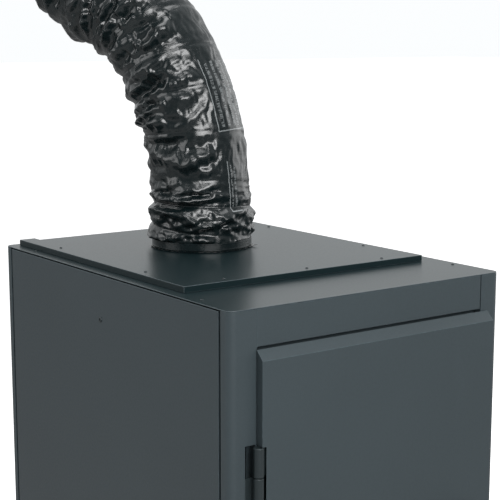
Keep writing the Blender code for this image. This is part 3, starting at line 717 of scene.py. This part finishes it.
def film_surface():
    """The film's mesh: slack on the inside of the bend and over the spigot, taut on the outside,
    and crumpled by a cloth simulation in which it has more film than room."""
    stations, angles, held = film_grid()
    clamped = (stations < CLAMPED) | (stations > DUCT_LENGTH - CLAMPED)
    radii = film_radii(stations, angles, held, clamped)
    mesh = film_mesh(duct.points(stations, angles, radii(1.0)), stations, angles)
    return settle_film(mesh, duct.points(stations, angles, radii(FILM_SPARE)), held | clamped)


def make_film():
    film = place_mesh("duct_film", film_surface(), "black_duct_film", "flexible_duct", smooth_angle=180)
    smooth = film.modifiers.new("smooth", "SUBSURF")
    smooth.levels = smooth.render_levels = 1


# The film's hem: its grid, how far it flares and strays, and its one longer tail.
HEM_COLUMNS = 288
HEM_ROWS = 6
HEM_GAP = 0.0004
HEM_FLARE = 0.0035
HEM_STRAY = 0.0016
HEM_LIFT = 0.0020
HEM_RIPPLE = 0.0009
HEM_TAIL = 0.013
HEM_TAIL_TURN = math.radians(285)
HEM_TAIL_HALF_WIDTH = 0.075
HEM_TAIL_LIFT = 0.0035


def make_film_hem():
    """The film's cut end, which flares out ragged under the lower clamp, with one longer tail."""
    rng = np.random.default_rng(SEED + 1)
    turns = np.linspace(0, 2 * math.pi, HEM_COLUMNS, endpoint=False)
    waves = sum(
        rng.uniform(0.4, 1.0) * np.sin(k * turns + rng.uniform(0, 6)) for k in (5, 9, 14, 23, 37)
    ) / 2.4
    place = duct.place(0)
    bm = bmesh.new()
    rings = []
    for row in range(HEM_ROWS):
        share = row / (HEM_ROWS - 1)
        ring = []
        for i, turn in enumerate(turns):
            away = abs((turn - HEM_TAIL_TURN + math.pi) % (2 * math.pi) - math.pi)
            tail = max(0.0, 1 - away / HEM_TAIL_HALF_WIDTH) ** 0.8
            flare = HEM_FLARE + HEM_STRAY * waves[i] + HEM_TAIL * tail
            radius = FILM_AT_CLAMP + HEM_GAP + flare * share
            ripple = HEM_RIPPLE + HEM_RIPPLE * waves[(i * 3) % HEM_COLUMNS]
            lift = HEM_LIFT * (1 - share) ** 2 + ripple * share + HEM_TAIL_LIFT * tail * share**2
            point = Vector((radius * math.cos(turn), radius * math.sin(turn), max(0.0, lift)))
            ring.append(bm.verts.new(place @ point))
        rings.append(ring)
    bridge(bm, rings)
    obj = new_piece("duct_film_hem", bm, "black_duct_film", smooth_angle=180)
    thick = obj.modifiers.new("thickness", "SOLIDIFY")
    thick.thickness = 0.0003
    thick.offset = 1


# The duct's metal


def make_wire():
    """The spring wire that the film is held to, close under it."""
    first, last = (float(turns_at(station)) for station in (WIRE_STATIONS[0], WIRE_STATIONS[-1]))
    turns = np.arange(first, last, 1 / WIRE_STEPS)
    radius = np.full(turns.shape, FILM_AT_WIRE - WIRE_GAP - WIRE_RADIUS)
    path = duct.points(station_of(turns), WIRE_START - 2 * math.pi * turns, radius)
    bm = bmesh.new()
    tube(bm, path, WIRE_RADIUS, 8)
    new_piece("duct_wire", bm, "zinc_plated_steel", "duct_wire_helix")


# The clamps: how far each is from the film's end, its band, and its screw's housing.
CLAMP_INSET = 0.003
CLAMP_WIDTH = 0.014
CLAMP_INNER = 0.0978
CLAMP_OUTER = 0.0992
CLAMP_EDGE = 0.0004
CLAMP_RIB = 0.0024
HOUSING_SIZE = (0.0068, 0.018, 0.0115)
HOUSING_ROUND = 0.0016
HOUSING_TURN = math.radians(30)


def make_clamp(which, start):
    """A clamp band with a raised rib along each edge, and the housing of its worm screw."""
    place = duct.place(start)
    half = [
        (CLAMP_INNER, 0),
        (CLAMP_OUTER - CLAMP_EDGE, 0),
        (CLAMP_OUTER, CLAMP_EDGE),
        (CLAMP_OUTER, CLAMP_RIB),
        (CLAMP_OUTER - CLAMP_EDGE, CLAMP_RIB + CLAMP_EDGE),
    ]
    bm = bmesh.new()
    lathe(bm, half + [(radius, CLAMP_WIDTH - z) for radius, z in half[::-1]], 144, place)
    new_piece(f"clamp_band_{which}", bm, "black_hardware", f"duct_clamp_{which}", finish=CLAMP_FINISH)

    thick, length, _ = HOUSING_SIZE
    outward = Matrix.Translation((CLAMP_OUTER + thick / 2, 0, CLAMP_WIDTH / 2))
    housing = place @ Matrix.Rotation(HOUSING_TURN, 4, "Z") @ outward
    sideways = Matrix.Rotation(math.radians(-90), 4, "X")
    screw = housing @ Matrix.Translation((0.0004, length / 2, 0)) @ sideways
    collar, head, rim, top = 0.0042, 0.0034, 0.0006, 0.0052
    bm = bmesh.new()
    rounded_box(bm, HOUSING_SIZE, housing, HOUSING_ROUND)
    outline = [(0, 0), (collar, 0), (collar, rim), (head, 2 * rim), (head, top), (0, top)]
    lathe(bm, outline, 6, screw)
    new_piece(f"clamp_screw_{which}", bm, "zinc_plated_steel")


# The spigot and the outlet flange: a pipe's wall, its flange and edges, and a bead round it.
COLLAR_INNER = 0.0895
COLLAR_OUTER = 0.0910
COLLAR_FLANGE = 0.1040
COLLAR_EDGE = 0.0004
BEAD_INSET = 0.012
BEAD_HALF = ((0, -0.0040), (0.0003, -0.0028), (0.0008, -0.0014))
BEAD = (*BEAD_HALF, (0.0010, 0), *((rise, -z) for rise, z in BEAD_HALF[::-1]))


def bead_round(wall, height):
    return [(wall + rise, height + z) for rise, z in BEAD]


def make_spigot():
    """The pipe in the roof plate's opening, with its flange under the plate."""
    low, top = (corner.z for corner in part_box("exhaust_spigot"))
    thick = 0.0015
    profile = [
        (COLLAR_INNER, low),
        (COLLAR_FLANGE - COLLAR_EDGE, low),
        (COLLAR_FLANGE, low + COLLAR_EDGE),
        (COLLAR_FLANGE, low + thick - COLLAR_EDGE),
        (COLLAR_FLANGE - COLLAR_EDGE, low + thick),
        (COLLAR_OUTER + 0.0006, low + thick),
        (COLLAR_OUTER, low + thick + 0.0009),
        *bead_round(COLLAR_OUTER, top - BEAD_INSET),
        (COLLAR_OUTER, top - COLLAR_EDGE),
        (COLLAR_OUTER - COLLAR_EDGE, top),
        (COLLAR_INNER + COLLAR_EDGE, top),
        (COLLAR_INNER, top - COLLAR_EDGE),
        *bead_round(COLLAR_INNER, top - BEAD_INSET)[::-1],
    ]
    bm = bmesh.new()
    lathe(bm, profile, 96, Matrix.Translation((spigot_middle.x, spigot_middle.y, 0)))
    new_piece("spigot", bm, "zinc_plated_steel", "exhaust_spigot")


def make_outlet_flange():
    """The pipe in the duct's far end, with a flange round its mouth."""
    start, end, thick, edge, rim = -0.050, 0.020, 0.003, 0.0008, 0.0010
    profile = [
        (COLLAR_INNER, start + COLLAR_EDGE),
        (COLLAR_INNER + COLLAR_EDGE, start),
        (COLLAR_OUTER - COLLAR_EDGE, start),
        (COLLAR_OUTER, start + COLLAR_EDGE),
        *bead_round(COLLAR_OUTER, start + BEAD_INSET),
        (COLLAR_OUTER, end - 0.0012),
        (COLLAR_OUTER + edge, end),
        (COLLAR_FLANGE - rim, end),
        (COLLAR_FLANGE, end + edge),
        (COLLAR_FLANGE, end + thick - edge),
        (COLLAR_FLANGE - rim, end + thick),
        (COLLAR_INNER + 0.0014, end + thick),
        (COLLAR_INNER, end + thick - 0.0016),
        *bead_round(COLLAR_INNER, start + BEAD_INSET)[::-1],
    ]
    bm = bmesh.new()
    lathe(bm, profile, 96, duct.place(DUCT_LENGTH))
    new_piece("outlet_flange", bm, "zinc_plated_steel", "duct_outlet_flange")


# The screws and feet


# Screw heads: (radius, socket) on the roof and on the grille; and the side fasteners' socket.
ROOF_HEAD = (0.0028, 0.0013)
GRILLE_HEAD = (0.0032, 0.0015)
GRILLE_HEAD_HEIGHT = 0.0014
GRILLE_SCREW_INSET = 0.008
FASTENER_SOCKET = 0.0027


def make_screws():
    """Hex socket screws on the roof and its plate, and square quarter-turn fasteners on the side
    panels."""
    for name in NODES:
        low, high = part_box(name)
        centre = middle(name)
        if name.startswith(("plate_screw", "roof_screw")):
            radius, socket = ROOF_HEAD
            place = facing((centre.x, centre.y, low.z), (0, 0, 1), 0.4 * len(name))
            head = (radius, high.z - low.z, place, socket, 6)
        elif name.startswith("side_fastener"):
            out = math.copysign(1, centre.x)
            base = low.x if out > 0 else high.x
            place = facing((base, centre.y, centre.z), (out, 0, 0))
            head = ((high.z - low.z) / 2, high.x - low.x, place, FASTENER_SOCKET, 4)
        else:
            continue
        bm = bmesh.new()
        recessed_head(bm, *head)
        new_piece(f"{name}_head", bm, "black_hardware", name)


def make_grille_screws():
    low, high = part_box("inlet_grille")
    radius, socket = GRILLE_HEAD
    inset = GRILLE_SCREW_INSET
    places = [(x, z) for x in (low.x + inset, high.x - inset) for z in (low.z + inset, high.z - inset)]
    for i, (x, z) in enumerate(places):
        bm = bmesh.new()
        place = facing((x, high.y, z), (0, 1, 0))
        recessed_head(bm, radius, GRILLE_HEAD_HEIGHT, place, socket, 6)
        new_piece(f"grille_screw_{i + 1}", bm, "black_hardware")


# The feet: the pad's outline as (radius, height), the stem's thread, and the nuts on it.
PAD_OUTLINE = (
    (0, 0), (0.0195, 0), (0.0221, 0.0008), (0.0240, 0.0030), (0.0239, 0.0042), (0.0229, 0.0048),
    (0.0229, 0.0056), (0.0234, 0.0062), (0.0228, 0.0082), (0.0218, 0.0088), (0.0218, 0.0095),
    (0.0212, 0.0108), (0.0196, 0.0120), (0.0120, 0.0128), (0.0096, 0.0150), (0, 0.0150),
)
PAD_TOP = 0.0150
THREAD_ROOT = 0.0053
THREAD_CREST = 0.0060
THREAD_PITCH = 0.0012
STEM_END = 0.0050
NUT_BOTTOMS = (0.0151, 0.0248)
NUT_HEIGHT = 0.0046
NUT_BORE = 0.0062
NUT_FACE = 0.0086
NUT_CORNER = 0.0095
NUT_CHAMFER = 0.0006


def make_feet():
    for name in [name for name in NODES if name.startswith("foot_")]:
        low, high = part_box(name)
        centre = middle(name)
        stand = Matrix.Translation((centre.x, centre.y, low.z))
        bm = bmesh.new()
        lathe(bm, PAD_OUTLINE, 48, stand)
        new_piece(f"{name}_pad", bm, "black_rubber", name)

        thread = [(0, PAD_TOP)]
        z, top = PAD_TOP, high.z - low.z
        while z + THREAD_PITCH < top - 0.0008:
            thread += [(THREAD_ROOT, z), (THREAD_CREST, z + THREAD_PITCH / 2)]
            z += THREAD_PITCH
        thread += [(THREAD_ROOT, z), (STEM_END, top), (0, top)]
        bm = bmesh.new()
        lathe(bm, thread, 20, stand)
        for bottom in NUT_BOTTOMS:
            roof = bottom + NUT_HEIGHT
            nut = [
                (NUT_BORE, bottom),
                (NUT_FACE, bottom),
                (NUT_CORNER, bottom + NUT_CHAMFER),
                (NUT_CORNER, roof - NUT_CHAMFER),
                (NUT_FACE, roof),
                (NUT_BORE, roof),
            ]
            lathe(bm, nut, 6, stand)
        new_piece(f"{name}_stem", bm, "zinc_plated_steel", smooth_angle=25)


# The soft parts


# The gasket's section, from one foot to its crown, as shares of its width and depth.
GASKET_HALF = ((0, 0), (0, 0.40), (0.06, 0.66), (0.18, 0.86), (0.34, 0.97), (0.50, 1.0))
GASKET_WIDTH = 0.008


def make_gasket():
    """A D-section foam strip round the door's inner pan, mitred at its corners."""
    low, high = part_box("door_gasket")
    section = [*GASKET_HALF, *((1 - a, b) for a, b in GASKET_HALF[-2::-1])]
    bm = bmesh.new()
    rings = []
    for x, z in ((low.x, low.z), (high.x, low.z), (high.x, high.z), (low.x, high.z)):
        inward_x = GASKET_WIDTH if x == low.x else -GASKET_WIDTH
        inward_z = GASKET_WIDTH if z == low.z else -GASKET_WIDTH
        rings.append([
            bm.verts.new((x + inward_x * a, low.y + (high.y - low.y) * b, z + inward_z * a))
            for a, b in section
        ])
    bridge(bm, rings + rings[:1])
    new_piece("gasket_strip", bm, "black_foam", "door_gasket", body="door", smooth_angle=50)


def make_filter():
    """A pleated mat behind the inlet grille."""
    low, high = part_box("inlet_filter")
    pleats, thick = 44, 0.0022
    bm = bmesh.new()
    front, back = [], []
    for i in range(pleats + 1):
        x = low.x + (high.x - low.x) * i / pleats
        y = low.y if i % 2 else high.y - thick
        front.append([bm.verts.new((x, y, z)) for z in (low.z, high.z)])
        back.append([bm.verts.new((x, y + thick, z)) for z in (low.z, high.z)])
    for i in range(pleats):
        bm.faces.new((front[i][0], front[i + 1][0], front[i + 1][1], front[i][1]))
        bm.faces.new((back[i][1], back[i + 1][1], back[i + 1][0], back[i][0]))
        for end in (0, 1):
            bm.faces.new((front[i][end], front[i + 1][end], back[i + 1][end], back[i][end]))
    for i in (0, pleats):
        bm.faces.new((front[i][0], front[i][1], back[i][1], back[i][0]))
    obj = new_piece("filter_pleats", bm, "filter_mat", "inlet_filter", smooth_angle=20)
    soft = obj.modifiers.new("soft", "BEVEL")
    soft.width = 0.0006
    soft.segments = 2


# The cable gland: its bore, its two nuts with the panel's sheet between them, its sleeve's ribs,
# and its tip.
GLAND_BORE = 0.005
GLAND_NUT = 0.014
GLAND_NUT_EDGE = 0.0005
GLAND_NECK = 0.0092
GLAND_INNER_NUT = 0.0030
GLAND_OUTER_NUT = 0.0051
GLAND_RIBS = 4
GLAND_FIRST_RIB = 0.0115
GLAND_RIB_PITCH = 0.0034
GLAND_RIB_HEIGHT = 0.0020
GLAND_TIP = 0.0076


def make_gland():
    """A rubber cable gland through the back panel, with a ribbed sleeve that narrows outwards."""
    low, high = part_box("cable_gland")
    centre = middle("cable_gland")
    edge = GLAND_NUT_EDGE
    profile = [
        (GLAND_BORE, 0),
        (GLAND_NUT - edge, 0),
        (GLAND_NUT, edge),
        (GLAND_NUT, GLAND_INNER_NUT - edge),
        (GLAND_NUT - edge, GLAND_INNER_NUT),
        (GLAND_NECK, GLAND_INNER_NUT),
        (GLAND_NECK, GLAND_OUTER_NUT),
        (GLAND_NUT - edge, GLAND_OUTER_NUT),
        (GLAND_NUT, GLAND_OUTER_NUT + edge),
        (GLAND_NUT, GLAND_OUTER_NUT + 0.0050),
        (GLAND_NUT - 0.0006, GLAND_OUTER_NUT + 0.0056),
        (0.0100, GLAND_OUTER_NUT + 0.0060),
    ]
    for k in range(GLAND_RIBS):
        start = GLAND_FIRST_RIB + GLAND_RIB_PITCH * k
        reach = 0.0114 - 0.0009 * k
        profile += [
            (reach - GLAND_RIB_HEIGHT, start),
            (reach, start + 0.0005),
            (reach, start + 0.0019),
            (reach - GLAND_RIB_HEIGHT, start + 0.0024),
        ]
    end = high.y - low.y
    profile += [
        (GLAND_TIP, end - 0.0006),
        (GLAND_TIP - 0.0006, end),
        (GLAND_BORE + edge, end),
        (GLAND_BORE, end - edge),
    ]
    bm = bmesh.new()
    lathe(bm, profile, 48, facing((centre.x, low.y, centre.z), (0, 1, 0)))
    new_piece("gland", bm, "black_rubber", "cable_gland")


# The dark strips in the gaps, which stand in for the shade there: how thick and how rounded they are, how
# much shorter than their panel, how much of their gap they leave free, and how far they lie from the
# panel's face or middle.
STRIP_THICK = 0.006
STRIP_ROUND = 0.0012
STRIP_SHORT = 0.004
STRIP_FREE = 0.0002
STRIP_BEHIND = 0.004


def make_gap_shade_strips():
    """Black rubber strips set back in the gaps between the base pan and the panels above it, and between
    the side panels and the posts: a dark sheet where there is only shade, so that the gaps stay dark and
    show no light through."""
    base_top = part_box("base_pan")[1].z
    front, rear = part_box("post_front_left")[1].y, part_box("post_rear_left")[0].y
    for name in ("back_panel", "side_panel_left", "side_panel_right"):
        low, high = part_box(name)
        centre = middle(name)
        height = low.z - base_top - STRIP_FREE
        level = (base_top + low.z) / 2
        if name == "back_panel":
            size = (high.x - low.x - STRIP_SHORT, STRIP_THICK, height)
            strips = [(size, (centre.x, low.y + STRIP_BEHIND, level))]
        else:
            outward = math.copysign(STRIP_BEHIND, centre.x)
            size = (STRIP_THICK, high.y - low.y - STRIP_SHORT, height)
            strips = [(size, (centre.x + outward, centre.y, level))]
            # Strips in the gaps between the side panel and the front and rear posts: painted shade that
            # keeps these gaps dark.
            for near, far in ((front, low.y), (high.y, rear)):
                size = (STRIP_THICK, far - near - 2 * STRIP_FREE, high.z - low.z - STRIP_SHORT)
                strips.append((size, (centre.x - outward, (near + far) / 2, centre.z)))
        bm = bmesh.new()
        for size, place in strips:
            rounded_box(bm, size, Matrix.Translation(place), STRIP_ROUND)
        new_piece(f"{name}_strip", bm, "black_rubber")


# Camera, floor and light


def make_camera():
    camera = bpy.data.objects.new("camera", bpy.data.cameras.new("camera"))
    camera.data.lens = CAMERA_LENS
    camera.data.sensor_width = 36
    camera.data.clip_end = 100
    camera.location = CAMERA_PLACE
    camera.rotation_euler = (math.radians(90 - CAMERA_DROP), 0, math.radians(-CAMERA_AZIMUTH))
    SCENE.collection.objects.link(camera)
    SCENE.camera = camera


def make_floor():
    """A plain pale floor, which seems white to the camera and darker to what stands on it."""
    bm = bmesh.new()
    bmesh.ops.create_grid(bm, x_segments=1, y_segments=1, size=60)
    mesh = bpy.data.meshes.new("floor")
    bm.to_mesh(mesh)
    bm.free()
    ground = Finish("floor")
    pale = ground.blend(ground.spread(ground.noise(1.5, 2), 0, 1), (0.80, 0.80, 0.80), (0.84, 0.84, 0.84))
    seen = ground.tree.nodes.new("ShaderNodeLightPath").outputs["Is Camera Ray"]
    ground.set(
        Base_Color=ground.blend(seen, (0.30, 0.30, 0.30), pale),
        Roughness=0.8,
        Emission_Color=(1, 1, 1, 1),
        Emission_Strength=ground.spread(seen, 0.06, 0.72, 0.0, 1.0),
    )
    mesh.materials.append(ground.material)
    floor = bpy.data.objects.new("floor", mesh)
    SCENE.collection.objects.link(floor)


# The room's light: brightest towards an azimuth (in degrees) and somewhat upwards.
WORLD_BRIGHT_AZIMUTH = 38
WORLD_BRIGHT_RISE = 0.35
WORLD_DARK = 0.16
WORLD_BRIGHT = 0.82
WORLD_COLOR = (0.97, 0.99, 1.0, 1)


def make_world():
    """Studio walls that are bright on one side and dark on the other, and white to the camera."""
    world = bpy.data.worlds.new("studio")
    world.use_nodes = True
    SCENE.world = world
    tree = world.node_tree
    background = tree.nodes["Background"]
    direction = tree.nodes.new("ShaderNodeTexCoord").outputs["Generated"]
    dot = tree.nodes.new("ShaderNodeVectorMath")
    dot.operation = "DOT_PRODUCT"
    tree.links.new(direction, dot.inputs[0])
    azimuth = math.radians(WORLD_BRIGHT_AZIMUTH)
    dot.inputs[1].default_value = (math.sin(azimuth), math.cos(azimuth), WORLD_BRIGHT_RISE)
    ramp = tree.nodes.new("ShaderNodeMapRange")
    ramp.interpolation_type = "SMOOTHSTEP"
    ramp.inputs["From Min"].default_value = -0.5
    ramp.inputs["From Max"].default_value = 0.9
    ramp.inputs["To Min"].default_value = WORLD_DARK
    ramp.inputs["To Max"].default_value = WORLD_BRIGHT
    tree.links.new(dot.outputs["Value"], ramp.inputs["Value"])
    seen = tree.nodes.new("ShaderNodeLightPath")
    pick = tree.nodes.new("ShaderNodeMix")
    tree.links.new(seen.outputs["Is Camera Ray"], pick.inputs["Factor"])
    tree.links.new(ramp.outputs["Result"], pick.inputs["A"])
    pick.inputs["B"].default_value = 1.0
    tree.links.new(pick.outputs["Result"], background.inputs["Strength"])
    background.inputs["Color"].default_value = WORLD_COLOR


# The soft boxes: (name, place, target, size, power).
SOFT_BOXES = (
    ("left_light", (-2.9, 0.9, 2.2), (0, 0, 1.1), (1.8, 2.2), 32),
    ("right_light", (-0.7, -3.4, 2.6), (0, 0, 1.1), (2.2, 1.6), 125),
    ("streak_light", (-1.1, -1.6, 3.5), (0, 0, 1.2), (1.5, 0.8), 24),
    ("rim_light", (3.5, -0.3, 1.7), (0, 0, 1.1), (3.0, 2.2), 28),
    ("top_light", (0.3, 0.6, 3.6), (0, 0, 1.0), (2.0, 2.0), 40),
)


def soft_box(name, place, target, size, power):
    light = bpy.data.lights.new(name, "AREA")
    light.shape = "RECTANGLE"
    light.size, light.size_y = size
    light.energy = power
    obj = bpy.data.objects.new(name, light)
    obj.location = place
    obj.rotation_euler = (Vector(target) - Vector(place)).to_track_quat("-Z", "Y").to_euler()
    SCENE.collection.objects.link(obj)


SCENE.view_settings.view_transform = "Standard"
make_camera()
make_floor()
make_world()
for box in SOFT_BOXES:
    soft_box(*box)

dress_nodes()
make_film()
make_film_hem()
make_wire()
make_clamp("lower", CLAMP_INSET)
make_clamp("upper", DUCT_LENGTH - CLAMP_INSET - CLAMP_WIDTH)
make_spigot()
make_outlet_flange()
make_screws()
make_grille_screws()
make_feet()
make_gasket()
make_filter()
make_gland()
make_gap_shade_strips()
